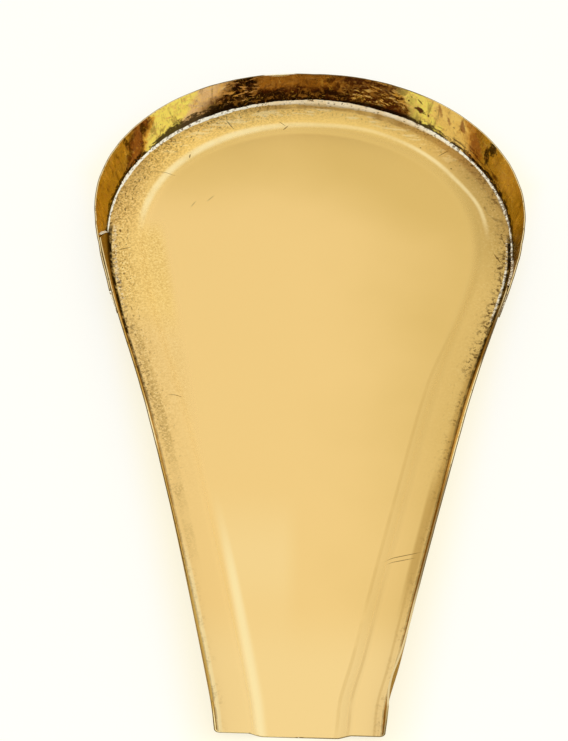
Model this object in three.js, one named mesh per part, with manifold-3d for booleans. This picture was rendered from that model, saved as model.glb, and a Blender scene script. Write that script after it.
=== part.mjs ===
import * as THREE from 'three';
import { mergeVertices } from 'three/addons/utils/BufferGeometryUtils.js';
import Module from 'manifold-3d';

// A sheet-brass libation tray. The floor is one sheet: a recessed channel inside a flat ledge, with
// its two long sides folded up as low walls that taper to an open spout. A strip of the same sheet
// is bent round the wide end, laps outside the folded sides at the shoulders and is brazed on.
// Millimetres, +Z up, +Y towards the wide end, the resting face at z = 0.

// Plan of the tray
const trayLength = 360;
const rimWidth = 200;
const tipToShoulder = 88;
const spoutWidth = 64.5;
const spoutTaper = THREE.MathUtils.degToRad(11.5);
const shoulderReach = 43;
const spoutReach = 212;

// Sheet and joints
const sheet = 0.8;
const jointGap = 0.3;
const foldRadius = 1.5;

// Walls: the height above the ledge, and how far the rim leans out at the tip, shoulders and mouth
const wallHeight = 16;
const tipLean = 2.4;
const shoulderLean = 6;
const mouthLean = 0.8;
const mouthSlant = 3.6;

// Floor: the flat ledge inside the walls, and the soft step down to the channel
const ledgeWidth = 12;
const stepRun = 6.5;
const recessDepth = 2.5;

// Laps at the shoulders: how far back from the rim's tip a folded side starts, the length over
// which it climbs to the rim, and how far the end wall outside it runs on past its start
const leftLap = { setback: 96, climb: 14, overlap: 47 };
const rightLap = { setback: 106, climb: 30, overlap: 32 };

// Brazing metal
const filletReach = 1.8;
const filletRise = 1.6;
const filletHollowShare = 0.45;
const lapFilletLeg = 1.2;
const featherEdge = 0.2;

// Steps along each stretch of the outline, and across the curves of its sections
const endSteps = 20;
const sideSteps = 22;
const foldSteps = 4;
const stepRings = 5;
const filletSteps = 3;

// Extra metal past the mouth, which the cut at the mouth takes away
const overrun = 14;

const ledgeUnderZ = recessDepth;
const ledgeZ = ledgeUnderZ + sheet;
const rimZ = ledgeZ + wallHeight;

// The foot line is where the inner faces of the folded sides, carried down, meet the ledge
const leanAngle = (lean) => Math.atan(lean / wallHeight);
const levelWidth = (thickness, lean) => thickness / Math.cos(leanAngle(lean));
const lapThickness = 2 * sheet + jointGap;
const footHalfWidth = rimWidth / 2 - shoulderLean - levelWidth(lapThickness, shoulderLean);
const footTipY = trayLength / 2 - tipLean - levelWidth(lapThickness, tipLean);
const shoulderY = trayLength / 2 - tipToShoulder;
const mouthY = -trayLength / 2;

const endCurve = new THREE.EllipseCurve(
  0, shoulderY, footHalfWidth, footTipY - shoulderY, Math.PI / 2, 0, true);
const mouthCorner = new THREE.Vector2(spoutWidth / 2, mouthY);
const upTheSide = new THREE.Vector2(Math.sin(spoutTaper), Math.cos(spoutTaper));
const sideCurve = new THREE.CubicBezierCurve(
  new THREE.Vector2(footHalfWidth, shoulderY),
  new THREE.Vector2(footHalfWidth, shoulderY - shoulderReach),
  mouthCorner.clone().addScaledVector(upTheSide, spoutReach),
  mouthCorner);
const overrunLine = new THREE.LineCurve(
  mouthCorner, mouthCorner.clone().addScaledVector(upTheSide, -overrun));
const stretches = [endCurve, sideCurve, overrunLine];

// A place on the foot line is a share of the stretches from the tip, one for each stretch passed,
// positive to the right and negative to the left
const shoulderShare = 1;
const mouthShare = 2;
const overrunShare = 3;

function station(place) {
  const side = place < 0 ? -1 : 1;
  const along = Math.abs(place);
  const stretch = Math.min(Math.floor(along), mouthShare);
  const share = along - stretch;
  const point = stretches[stretch].getPoint(share);
  const tangent = stretches[stretch].getTangent(share);
  const leans = [
    THREE.MathUtils.lerp(tipLean, shoulderLean, Math.sin(share * Math.PI / 2)),
    THREE.MathUtils.lerp(shoulderLean, mouthLean, share),
    mouthLean,
  ];
  return {
    place,
    lean: leans[stretch],
    foot: new THREE.Vector2(side * point.x, point.y),
    outward: new THREE.Vector2(-side * tangent.y, tangent.x),
  };
}

// The place, without its sign, where the foot line lies a distance back from the rim's tip
function placeBack(distance) {
  let near = 0;
  let far = mouthShare;
  for (let halving = 0; halving < 40; halving += 1) {
    const middle = (near + far) / 2;
    if (trayLength / 2 - station(middle).foot.y < distance) near = middle;
    else far = middle;
  }
  return near;
}

// The places from one end of a run to the other, left to right
function run(from, to) {
  const half = [overrunShare];
  for (let step = 1; step <= endSteps; step += 1) half.push(step / endSteps);
  for (let step = 1; step <= sideSteps; step += 1) half.push(shoulderShare + step / sideSteps);
  const closest = shoulderShare / (2 * sideSteps);
  const between = [0, ...half, ...half.map((place) => -place)]
    .filter((place) => place > from + closest && place < to - closest)
    .sort((a, b) => a - b);
  return [from, ...between, to];
}

function pointAt({ foot, outward }, offset, z) {
  return new THREE.Vector3(foot.x + outward.x * offset, foot.y + outward.y * offset, z);
}

// Offsets from the foot line, outwards, of the walls' faces at a height
const innerFace = ({ lean }, z) => lean * (z - ledgeZ) / wallHeight;
const outerFace = (at, z) => innerFace(at, z) + levelWidth(sheet, at.lean);
const endInnerFace = (at, z) => outerFace(at, z) + levelWidth(jointGap, at.lean);
const endOuterFace = (at, z) => endInnerFace(at, z) + levelWidth(sheet, at.lean);

function geometryOf(points, triangles) {
  const geometry = new THREE.BufferGeometry().setFromPoints(points);
  geometry.setIndex(triangles.flat());
  geometry.computeVertexNormals();
  return geometry;
}

// A solid swept along the foot line; a section lists its [offset, z] points anticlockwise as seen
// from the run's right-hand end
function sweep(places, sectionAt) {
  const points = [];
  const triangles = [];
  const sections = places.map((place) => {
    const at = station(place);
    const section = sectionAt(at);
    points.push(...section.map(([offset, z]) => pointAt(at, offset, z)));
    return section.map(([offset, z]) => new THREE.Vector2(offset, z));
  });
  const size = sections[0].length;
  for (let ring = 0; ring < places.length - 1; ring += 1) {
    for (let i = 0; i < size; i += 1) {
      const here = ring * size + i;
      const beside = ring * size + (i + 1) % size;
      triangles.push([here, beside, beside + size], [here, beside + size, here + size]);
    }
  }
  const last = points.length - size;
  for (const [a, b, c] of THREE.ShapeUtils.triangulateShape(sections[0], [])) {
    triangles.push([c, b, a]);
  }
  for (const [a, b, c] of THREE.ShapeUtils.triangulateShape(sections.at(-1), [])) {
    triangles.push([last + a, last + b, last + c]);
  }
  return geometryOf(points, triangles);
}

// A dished plate: rings of [offset, z] from its upper middle, out round its edge and back below
function plate(places, ringsAt) {
  const points = [];
  const triangles = [];
  const stations = places.map(station);
  const count = stations.length;
  const rings = ringsAt(stations[0]).length;
  for (let ring = 0; ring < rings; ring += 1) {
    points.push(...stations.map((at) => pointAt(at, ...ringsAt(at)[ring])));
  }
  for (let ring = 0; ring < rings - 1; ring += 1) {
    for (let i = 0; i < count; i += 1) {
      const inner = ring * count + i;
      const beside = ring * count + (i + 1) % count;
      triangles.push([inner, beside + count, inner + count], [inner, beside, beside + count]);
    }
  }
  const last = points.length - count;
  const middle = points.slice(0, count).map(({ x, y }) => new THREE.Vector2(x, y)).reverse();
  for (const [a, b, c] of THREE.ShapeUtils.triangulateShape(middle, [])) {
    const [top, across, along] = [count - 1 - a, count - 1 - b, count - 1 - c];
    triangles.push([top, across, along], [last + along, last + across, last + top]);
  }
  return geometryOf(points, triangles);
}

const wasm = await Module();
wasm.setup();

function toSolid(geometry) {
  const bare = geometry.clone();
  bare.deleteAttribute('normal');
  bare.deleteAttribute('uv');
  const merged = mergeVertices(bare);
  return new wasm.Manifold(new wasm.Mesh({
    numProp: 3,
    vertProperties: new Float32Array(merged.attributes.position.array),
    triVerts: new Uint32Array(merged.index.array),
  }));
}

function toGeometry(solid) {
  const { vertProperties, numProp, triVerts } = solid.getMesh();
  const geometry = new THREE.BufferGeometry();
  geometry.setAttribute('position', new THREE.BufferAttribute(vertProperties, numProp));
  geometry.setIndex(new THREE.BufferAttribute(triVerts, 1));
  geometry.computeVertexNormals();
  return geometry;
}

// The step from the ledge down to the channel, level at both ends
function stepPoints() {
  const points = [];
  for (let ring = 0; ring <= stepRings; ring += 1) {
    const share = ring / stepRings;
    const drop = THREE.MathUtils.smoothstep(share, 0, 1);
    points.push([-ledgeWidth - share * stepRun, -drop * recessDepth]);
  }
  return points;
}

// The floor's own plate: its edge meets the end wall, and stops inside the folds along the sides
function floorPlate() {
  const leftStart = -placeBack(leftLap.setback);
  const rightStart = placeBack(rightLap.setback);
  const places = [
    ...run(-overrunShare, leftStart).slice(0, -1),
    ...run(leftStart, rightStart),
    ...run(rightStart, overrunShare).slice(1),
  ];
  return plate(places, (at) => {
    const folded = at.place < leftStart || at.place > rightStart;
    const edge = folded ? -foldRadius - sheet : outerFace(at, ledgeZ);
    const underEdge = folded ? edge : outerFace(at, ledgeUnderZ);
    const step = stepPoints();
    const above = step.map(([offset, z]) => [offset, ledgeZ + z]).reverse();
    const below = step.map(([offset, z]) => [offset, ledgeUnderZ + z]);
    return [...above, [edge, ledgeZ], [underEdge, ledgeUnderZ], ...below];
  });
}

// The inner line of a folded side, from the ledge through the fold to a height on the wall
function foldLine(at, topZ) {
  const bend = Math.PI / 2 - leanAngle(at.lean);
  const setback = foldRadius * Math.tan(bend / 2);
  const line = [{ offset: -ledgeWidth / 2, z: ledgeZ, turn: 0 }];
  for (let step = 0; step <= foldSteps; step += 1) {
    const turn = (step / foldSteps) * bend;
    line.push({
      offset: -setback + foldRadius * Math.sin(turn),
      z: ledgeZ + foldRadius * (1 - Math.cos(turn)),
      turn,
    });
  }
  line.push({ offset: innerFace(at, topZ), z: topZ, turn: bend });
  return line;
}

// A folded side starts low at the shoulder and climbs to the rim over its lap
const foldStartZ = ledgeZ + foldRadius + sheet;

function foldTop(at, lap) {
  const start = placeBack(lap.setback);
  const climbed = (Math.abs(at.place) - start) / (placeBack(lap.setback + lap.climb) - start);
  return THREE.MathUtils.lerp(foldStartZ, rimZ, THREE.MathUtils.clamp(climbed, 0, 1));
}

// A run that starts nearer the tip and ends farther back, on one side
function sideRun(side, near, far) {
  return side < 0 ? run(-far, -near) : run(near, far);
}

function foldedSide(side, lap) {
  const full = placeBack(lap.setback + lap.climb);
  const climb = sideRun(side, placeBack(lap.setback), full);
  const level = sideRun(side, full, overrunShare);
  const places = side < 0 ? [...level, ...climb.slice(1)] : [...climb, ...level.slice(1)];
  return sweep(places, (at) => {
    const line = foldLine(at, foldTop(at, lap));
    const outside = line.map(({ offset, z, turn }) => [
      offset + sheet * Math.sin(turn), z - sheet * Math.cos(turn)]);
    const inside = line.map(({ offset, z }) => [offset, z]).reverse();
    return [...outside, ...inside];
  });
}

// What the cut at the mouth leaves: square up to the ledge, then slanting back up the walls
function mouthCut() {
  const outline = new THREE.Shape([
    new THREE.Vector2(mouthY, -overrun),
    new THREE.Vector2(trayLength, -overrun),
    new THREE.Vector2(trayLength, rimZ + wallHeight),
    new THREE.Vector2(mouthY + 2 * mouthSlant, rimZ + wallHeight),
    new THREE.Vector2(mouthY, ledgeZ),
  ]);
  const geometry = new THREE.ExtrudeGeometry(outline, { depth: 2 * rimWidth, bevelEnabled: false });
  geometry.translate(0, 0, -rimWidth);
  geometry.rotateX(Math.PI / 2);
  geometry.rotateZ(Math.PI / 2);
  return toSolid(geometry);
}

function floorSheet() {
  const solid = toSolid(floorPlate())
    .add(toSolid(foldedSide(-1, leftLap)))
    .add(toSolid(foldedSide(1, rightLap)))
    .intersect(mouthCut());
  return toGeometry(solid);
}

function endWall() {
  const left = -placeBack(leftLap.setback + leftLap.overlap);
  const right = placeBack(rightLap.setback + rightLap.overlap);
  return sweep(run(left, right), (at) => [
    [endInnerFace(at, ledgeUnderZ), ledgeUnderZ],
    [endOuterFace(at, ledgeUnderZ), ledgeUnderZ],
    [endOuterFace(at, rimZ), rimZ],
    [endInnerFace(at, rimZ), rimZ],
  ]);
}

// A hollow-faced fillet of brazing metal in the corner between the ledge and the end wall
function footFillet() {
  const left = -placeBack(leftLap.setback - jointGap);
  const right = placeBack(rightLap.setback - jointGap);
  return sweep(run(left, right), (at) => {
    const lowZ = ledgeZ + jointGap;
    const highZ = lowZ + filletRise;
    const corner = new THREE.Vector2(outerFace(at, lowZ), lowZ);
    const inner = new THREE.Vector2(corner.x - filletReach, lowZ);
    const upper = new THREE.Vector2(outerFace(at, highZ), highZ);
    const control = inner.clone().lerp(upper, 1 / 2).lerp(corner, filletHollowShare);
    const face = new THREE.QuadraticBezierCurve(upper, control, inner).getPoints(filletSteps);
    return [corner, ...face].map(({ x, y }) => [x, y]);
  });
}

// A fillet on the end wall's inner face, along the climbing edge of the folded side behind it
function innerLapFillet(side, lap) {
  const start = placeBack(lap.setback);
  const full = placeBack(lap.setback + lap.climb);
  const rise = rimZ - foldStartZ;
  const slant = Math.hypot(1, rise / lap.climb);
  const clear = jointGap * slant;
  const leg = lapFilletLeg * slant;
  const end = THREE.MathUtils.lerp(start, full, 1 - (clear + leg) / rise);
  return sweep(sideRun(side, start, end), (at) => {
    const lowZ = foldTop(at, lap) + clear;
    return [
      [innerFace(at, lowZ), lowZ],
      [outerFace(at, lowZ), lowZ],
      [outerFace(at, lowZ + leg), lowZ + leg],
    ];
  });
}

// A fillet up the end wall's cut end, against the outer face of the folded side
function outerLapFillet(side, lap) {
  const near = lap.setback + lap.overlap + jointGap;
  const [nearPlace, farPlace] = [placeBack(near), placeBack(near + lapFilletLeg)];
  return sweep(sideRun(side, nearPlace, farPlace), (at) => {
    const share = (Math.abs(at.place) - nearPlace) / (farPlace - nearPlace);
    const width = THREE.MathUtils.lerp(sheet, featherEdge, share);
    return [
      [endInnerFace(at, foldStartZ), foldStartZ],
      [endInnerFace(at, foldStartZ) + width, foldStartZ],
      [endInnerFace(at, rimZ) + width, rimZ],
      [endInnerFace(at, rimZ), rimZ],
    ];
  });
}

const floorBrass = new THREE.MeshStandardMaterial({ color: 0xd8ac63, roughness: 0.28, metalness: 1 });
const wallBrass = new THREE.MeshStandardMaterial({ color: 0xb5853c, roughness: 0.34, metalness: 1 });
const brazingMetal = new THREE.MeshStandardMaterial({ color: 0xcdb98a, roughness: 0.5, metalness: 1 });

function named(name, geometry, material) {
  const mesh = new THREE.Mesh(geometry, material);
  mesh.name = name;
  return mesh;
}

const tray = new THREE.Group();
tray.add(
  named('floor_sheet', floorSheet(), floorBrass),
  named('end_wall', endWall(), wallBrass),
  named('foot_fillet', footFillet(), brazingMetal),
  named('left_inner_lap_fillet', innerLapFillet(-1, leftLap), brazingMetal),
  named('right_inner_lap_fillet', innerLapFillet(1, rightLap), brazingMetal),
  named('left_outer_lap_fillet', outerLapFillet(-1, leftLap), brazingMetal),
  named('right_outer_lap_fillet', outerLapFillet(1, rightLap), brazingMetal),
);

export default tray;
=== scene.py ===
"""Dresses a sheet-brass libation tray: folded-up sides, a brazed-on end wall and its beads."""

import math
from collections import namedtuple

import bmesh
import bpy
from bpy.props import FloatProperty, FloatVectorProperty, PointerProperty
from mathutils import Matrix, Vector, geometry, noise


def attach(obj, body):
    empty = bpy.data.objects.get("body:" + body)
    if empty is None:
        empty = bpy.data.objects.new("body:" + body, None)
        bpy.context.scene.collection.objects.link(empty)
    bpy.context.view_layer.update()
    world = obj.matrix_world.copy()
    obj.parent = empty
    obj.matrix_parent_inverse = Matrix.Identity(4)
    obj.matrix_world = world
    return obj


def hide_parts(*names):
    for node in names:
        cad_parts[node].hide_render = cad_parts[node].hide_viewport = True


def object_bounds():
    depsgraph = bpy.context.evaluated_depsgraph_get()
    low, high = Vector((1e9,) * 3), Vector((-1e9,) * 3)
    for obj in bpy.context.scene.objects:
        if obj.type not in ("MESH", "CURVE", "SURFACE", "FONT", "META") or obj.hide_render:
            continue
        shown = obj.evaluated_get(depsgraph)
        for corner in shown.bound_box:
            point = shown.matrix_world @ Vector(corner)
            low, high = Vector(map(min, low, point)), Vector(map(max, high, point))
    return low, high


bl_info = {
    "name": "Brass Libation Tray",
    "version": (1, 0, 0),
    "blender": (4, 5, 0),
    "location": "3D View > Sidebar > Tray",
    "description": "Builds the tray's brass sheets and brazing over its solid model",
    "category": "Add Mesh",
}

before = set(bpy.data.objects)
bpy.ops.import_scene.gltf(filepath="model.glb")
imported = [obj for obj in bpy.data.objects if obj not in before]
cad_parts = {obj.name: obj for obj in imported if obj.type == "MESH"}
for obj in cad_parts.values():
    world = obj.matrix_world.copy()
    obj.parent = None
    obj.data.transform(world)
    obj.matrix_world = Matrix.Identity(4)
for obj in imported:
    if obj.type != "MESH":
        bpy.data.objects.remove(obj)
CAD_LOW, CAD_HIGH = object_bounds()

BODY = "root"
MM = 1000.0  # millimetres in a metre; the finishes are laid out in millimetres
END_STEPS, SIDE_STEPS = 240, 480  # points along half of the round end and along one side
PAST_MOUTH = 0.012  # how far the foot line runs on before the mouth is cut
MERGE = 2e-5  # points closer than this become one
SMOOTH_BELOW, BEVEL_ABOVE = math.radians(40.0), math.radians(50.0)
FACTOR, COLOUR_A, COLOUR_B, COLOUR_OUT = 0, 6, 7, 2  # the Mix node's sockets

# The bends that hand work left: the distance behind the rim's tip, and the reach
FLARE, SWELL, HOLLOW = (0.363, 0.010), (0.155, 0.028), (0.190, 0.040)
BY_MOUTH, PINCH = (0.345, 0.012), (0.346, 0.013)
LEFT_UPRIGHT, RIGHT_UPRIGHT = (0.118, 0.040), (0.115, 0.036)


def length(name, description, default):
    """A size in metres that a user may change."""
    return FloatProperty(
        name=name, description=description, default=default, unit="LENGTH", precision=5)


def angle(name, description, degrees):
    """An angle that a user may change."""
    return FloatProperty(
        name=name, description=description, default=math.radians(degrees), unit="ROTATION")


def share(name, description, default):
    """A plain number that a user may change."""
    return FloatProperty(name=name, description=description, default=default, subtype="FACTOR")


def colour(name, description, default):
    """A colour that a user may change."""
    return FloatVectorProperty(
        name=name, description=description, default=default, size=3, subtype="COLOR",
        min=0.0, max=1.0)


class TraySizes(bpy.types.PropertyGroup):
    """The tray's sizes, the same as in its solid model."""

    tray_length: length("Tray Length", "Rim tip to mouth", CAD_HIGH.y - CAD_LOW.y)
    rim_width: length("Rim Width", "Widest, outside the rim", CAD_HIGH.x - CAD_LOW.x)
    rim_height: length("Rim Height", "Resting face to rim", CAD_HIGH.z)
    wall_height: length("Wall Height", "Ledge to rim", 0.016)
    tip_to_shoulder: length("Tip to Shoulder", "Length of the round end", 0.088)
    spout_width: length("Spout Width", "Between the walls at the mouth", 0.0645)
    spout_taper: angle("Spout Taper", "Turn of each side at the mouth", 11.5)
    shoulder_reach: length("Shoulder Reach", "How long the shoulders stay straight", 0.043)
    spout_reach: length("Spout Reach", "How long the spout's sides stay straight", 0.212)
    sheet: length("Sheet", "Thickness of the brass sheet", 0.0008)
    joint_gap: length("Joint Gap", "Gap between lapped sheets", 0.0001)
    fold_radius: length("Fold Radius", "Inside radius of the folded sides", 0.0015)
    tip_lean: length("Tip Lean", "How far the rim leans out at the tip", 0.0024)
    shoulder_lean: length("Shoulder Lean", "How far the rim leans out at the shoulders", 0.006)
    mouth_lean: length("Mouth Lean", "How far the rim leans out at the mouth", 0.0008)
    mouth_slant: length("Mouth Slant", "How far the walls' cut ends slant back", 0.0036)
    ledge_width: length("Ledge Width", "Flat ledge inside the walls", 0.012)
    step_run: length("Step Run", "Width of the step down to the channel", 0.0065)
    recess_depth: length("Recess Depth", "Drop from the ledge to the channel", 0.0025)
    left_setback: length("Left Setback", "Rim tip to the left side's start", 0.096)
    left_climb: length("Left Climb", "Length over which the left side rises", 0.014)
    left_overlap: length("Left Overlap", "End wall past the left side's start", 0.047)
    right_setback: length("Right Setback", "Rim tip to the right side's start", 0.106)
    right_climb: length("Right Climb", "Length over which the right side rises", 0.030)
    right_overlap: length("Right Overlap", "End wall past the right side's start", 0.032)
    left_swell: length("Left Swell", "How far the left side bows out behind the shoulder", 0.0009)
    right_hollow: length("Right Hollow", "How far the right side bows in", 0.0008)
    left_upright: length("Left Upright", "How much less the left side leans at its lap", 0.0013)
    right_upright: length("Right Upright", "How much less the right side leans at its lap", 0.0024)
    mouth_hollow: length("Mouth Hollow", "How far the right side bows in by the mouth", 0.0009)
    mouth_flare: length("Mouth Flare", "How far the sides turn out at the mouth", 0.0009)
    mouth_pinch: length("Mouth Pinch", "How far the right rim bends in by the mouth", 0.0008)
    fillet_reach: length("Fillet Reach", "Brazed fillet's width on the ledge", 0.0018)
    fillet_rise: length("Fillet Rise", "Brazed fillet's height on the end wall", 0.0016)
    bead_leg: length("Bead Leg", "Width of the brazed beads at the laps", 0.0012)
    hammer_depth: length("Hammer Depth", "Depth of the dents in the end wall", 0.00034)
    side_dent: length("Side Dent", "Depth of the dents in the folded sides", 0.00014)
    edge_wear: length("Edge Wear", "Rounding of the cut edges", 0.0001)
    pitch: length("Pitch", "Spacing of the mesh along the walls", 0.002)


class TrayFinishes(bpy.types.PropertyGroup):
    """The colours of the brass, of what has dulled it, and of painted highlights, reflection and
    shade.
    """

    polished: colour("Polished Brass", "The channel's floor", (0.91, 0.637, 0.247))
    # Painted shade on the channel, towards the round end and its right side
    shaded_channel: colour("Faded Brass", "The channel where its polish has dulled", (0.755, 0.518, 0.165))
    # Pale brass, and also the colour of the painted highlights and reflection on the step's crest,
    # the folded sides, the cut edges, the channel by the mouth and the ledge by the left wall
    crest: colour("Crest", "The rubbed crest of the step", (1.0, 0.84, 0.45))
    grain: colour("Grain", "The darker grain of the unpolished ledge", (0.50, 0.30, 0.07))
    tarnish: colour("Tarnish", "Brown spots beside the walls", (0.13, 0.065, 0.014))
    olive: colour("Olive", "The ledge beside the brazing metal", (0.42, 0.28, 0.075))
    left_side: colour("Left Side", "The left folded side's inner face", (0.62, 0.40, 0.10))
    # A darker copy of the folded sides' colour: painted shade on the right side, and some of it on
    # the left side by the round end
    right_side: colour("Right Side", "The right folded side's inner face", (0.13, 0.075, 0.016))
    spout_side: colour("Spout Side", "The sides beside the spout", (0.27, 0.125, 0.006))
    # Also the colour of the painted shade along the folded sides' corner
    soot: colour("Soot", "Black flux stain in the corners", (0.012, 0.006, 0.003))
    # Partly polished brass, partly painted reflection
    bright: colour("Bright Patch", "Hammered brass that took the polish", (1.0, 0.89, 0.18))
    orange: colour("Orange Patch", "Hammered brass beside the bright patches", (0.96, 0.69, 0.19))
    gilt: colour("Gilt", "The ledge behind the wide end", (1.0, 0.70, 0.21))
    rust: colour("Rust", "Overheated patches on the end wall", (0.35, 0.155, 0.046))
    tan: colour("Tan Patch", "Hammered brass with a dull pinkish film", (0.84, 0.58, 0.29))
    bronze: colour("Bronze", "The end wall near the shoulders", (0.52, 0.35, 0.055))
    heated: colour("Heated", "The end wall's stained upper part", (0.62, 0.34, 0.085))
    scorched: colour("Scorched", "The end wall's upper part at the tip", (0.48, 0.24, 0.05))
    burnt: colour("Burnt", "The end wall's stained lower part", (0.085, 0.026, 0.008))
    shoulder: colour("Shoulder", "The end wall's dark shoulders", (0.07, 0.034, 0.004))
    brazing: colour("Brazing Metal", "The pale metal in the joints", (1.0, 0.975, 0.83))
    cream: colour("Cream", "The pale metal where brass has run into it", (0.90, 0.69, 0.37))
    underside: colour("Underside", "The dull outer faces", (0.55, 0.36, 0.11))
    cut_edge: colour("Cut Edge", "The filed edges of the sheet", (0.88, 0.70, 0.36))
    # Dark brass in nicks and at the tip, and painted shade on the edges' outer half
    worn_and_shaded_edge: colour("Worn Edge", "The filed edges where they have dulled", (0.09, 0.042, 0.006))


class StageSettings(bpy.types.PropertyGroup):
    """The camera and the light."""

    azimuth: angle("Azimuth", "Turn of the camera about the tray", -1.2108)
    elevation: angle("Elevation", "Height of the camera above the horizon", 50.607)
    roll: angle("Roll", "Tilt of the picture", 2.631)
    distance: length("Distance", "Camera to the tray's middle", 1.0477)
    lens: FloatProperty(
        name="Lens", description="Focal length over a 36 mm long side", default=115.2,
        unit="CAMERA")
    shift_across: share("Shift Across", "Sideways shift of the picture", -0.03073)
    shift_up: share("Shift Up", "Upward shift of the picture", 0.00517)
    floor_colour: colour("Floor", "The table under the tray", (0.95, 0.93, 0.82))
    backdrop: colour("Backdrop", "The white beyond the table", (1.0, 1.0, 0.96))
    softbox: colour("Softbox", "The overhead lamp", (1.0, 0.98, 0.94))
    room_level: share("Room Level", "Brightness of the room", 1.0)
    shadow_share: share("Shadow Share", "How much of its shade the table shows", 0.25)
    fill: FloatProperty(
        name="Fill", description="Power of the front lamp", default=5.0, unit="POWER")
    glow: colour("Glow", "Warm light that the brass throws on the table", (1.0, 0.945, 0.76))


Station = namedtuple("Station", "foot outward along lean back around")


def level_width(sizes, thickness, lean):
    """The level width of a sheet that leans with the wall."""
    return thickness * math.hypot(1.0, lean / sizes.wall_height)


def half_foot_line(sizes):
    """Close points and leans along the right half of the walls' foot, from tip to mouth."""
    half = sizes.tray_length / 2
    lapped = 2 * sizes.sheet + sizes.joint_gap
    across = sizes.rim_width / 2 - sizes.shoulder_lean
    across -= level_width(sizes, lapped, sizes.shoulder_lean)
    tip = half - sizes.tip_lean - level_width(sizes, lapped, sizes.tip_lean)
    shoulder = half - sizes.tip_to_shoulder
    gain = sizes.shoulder_lean - sizes.tip_lean
    points = []
    for step in range(END_STEPS):
        turn = step / END_STEPS * math.pi / 2
        point = Vector((across * math.sin(turn), shoulder + (tip - shoulder) * math.cos(turn)))
        points.append((point, sizes.tip_lean + gain * math.sin(turn)))
    corner = Vector((sizes.spout_width / 2, -half))
    up_side = Vector((math.sin(sizes.spout_taper), math.cos(sizes.spout_taper)))
    side = geometry.interpolate_bezier(
        Vector((across, shoulder)), Vector((across, shoulder - sizes.shoulder_reach)),
        corner + up_side * sizes.spout_reach, corner, SIDE_STEPS)
    loss = sizes.mouth_lean - sizes.shoulder_lean
    for step, point in enumerate(side):
        points.append((point, sizes.shoulder_lean + loss * step / (SIDE_STEPS - 1)))
    points.append((corner - up_side * PAST_MOUTH, sizes.mouth_lean))
    return points


def bump(distance, bend):
    """One in a bend's middle, falling off evenly on both sides of it."""
    middle, reach = bend
    return math.exp(-((distance - middle) / reach) ** 2)


def hand_work(sizes, side, back):
    """How far a side's foot and its rim stray outwards, as they were bent by hand."""
    foot = sizes.mouth_flare * bump(back, FLARE)
    if side < 0.0:
        foot += sizes.left_swell * bump(back, SWELL)
        return foot + sizes.left_upright * bump(back, LEFT_UPRIGHT), foot
    foot -= sizes.right_hollow * bump(back, HOLLOW) + sizes.mouth_hollow * bump(back, BY_MOUTH)
    pinch = sizes.mouth_pinch * bump(back, PINCH)
    return foot + sizes.right_upright * bump(back, RIGHT_UPRIGHT), foot - pinch


def foot_line(sizes, pitch):
    """Evenly spaced stations from left of the mouth, round the tip, to right of the mouth."""
    points = half_foot_line(sizes)
    stations = []
    walked = 0.0
    wanted = 0.0
    for (here, lean), (there, next_lean) in zip(points, points[1:]):
        step = (there - here).length
        while wanted <= walked + step:
            part = (wanted - walked) / step
            foot = here.lerp(there, part)
            along = (there - here).normalized()
            stations.append(Station(
                foot, Vector((-along.y, along.x)), along, lean + (next_lean - lean) * part,
                sizes.tray_length / 2 - foot.y, wanted))
            wanted += pitch
        walked += step
    flip = Vector((-1.0, 1.0))
    left = [
        Station(s.foot * flip, s.outward * flip, -s.along * flip, s.lean, s.back, -s.around)
        for s in stations[:0:-1]
    ]
    shaped = []
    for s in left + stations:
        foot, rim = hand_work(sizes, s.around, s.back)
        shaped.append(s._replace(foot=s.foot + s.outward * foot, lean=s.lean + rim - foot))
    return shaped


def between(stations, left, right):
    """The stations from a distance behind the tip on the left to one on the right."""
    return [s for s in stations if s.back <= (left if s.around < 0.0 else right)]


def one_side(stations, side, near, far):
    """The stations of one side between two distances behind the tip, left to right."""
    return [s for s in stations if s.around * side > 0.0 and near <= s.back <= far]


def placing(sizes, station, leaning=True):
    """Stands a section on a station: offsets run outwards and heights up from the ledge."""
    up = Vector((0.0, 0.0, 1.0))
    if leaning:
        up += station.outward.to_3d() * (station.lean / sizes.wall_height)
    matrix = Matrix((station.outward.to_3d(), station.along.to_3d(), up)).transposed().to_4x4()
    matrix.translation = (*station.foot, sizes.rim_height - sizes.wall_height)
    return matrix


def wall_stand(sizes, station, height=0.0):
    """Moves a section out to the end wall's inner face, and up it by a height."""
    out = level_width(sizes, sizes.sheet + sizes.joint_gap, station.lean)
    return placing(sizes, station) @ Matrix.Translation((out, 0.0, height))


def new_mesh():
    """An empty mesh whose points know where they lie on the tray."""
    bm = bmesh.new()
    for name in ("inset", "rise", "around", "outer"):
        bm.verts.layers.float.new(name)
    return bm


def sweep(bm, section, stations, places, closed=False):
    """Draws a section of offsets and heights along the stations by extruding it."""
    inset, rise, around = (bm.verts.layers.float[name] for name in ("inset", "rise", "around"))
    verts = []
    for offset, height in section:
        vert = bm.verts.new(places[0] @ Vector((offset, 0.0, height)))
        vert[inset], vert[rise], vert[around] = offset, height, stations[0].around
        verts.append(vert)
    edges = [bm.edges.new(pair) for pair in zip(verts, verts[1:])]
    if closed:
        edges.append(bm.edges.new((verts[-1], verts[0])))
        bmesh.ops.contextual_create(bm, geom=edges)
    for station, here, there in zip(stations[1:], places, places[1:]):
        made = bmesh.ops.extrude_edge_only(bm, edges=edges)["geom"]
        verts = [part for part in made if isinstance(part, bmesh.types.BMVert)]
        edges = [part for part in made if isinstance(part, bmesh.types.BMEdge)]
        bmesh.ops.transform(bm, matrix=there @ here.inverted(), verts=verts)
        for vert in verts:
            vert[around] = station.around
    if closed:
        bmesh.ops.contextual_create(bm, geom=edges)


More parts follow.
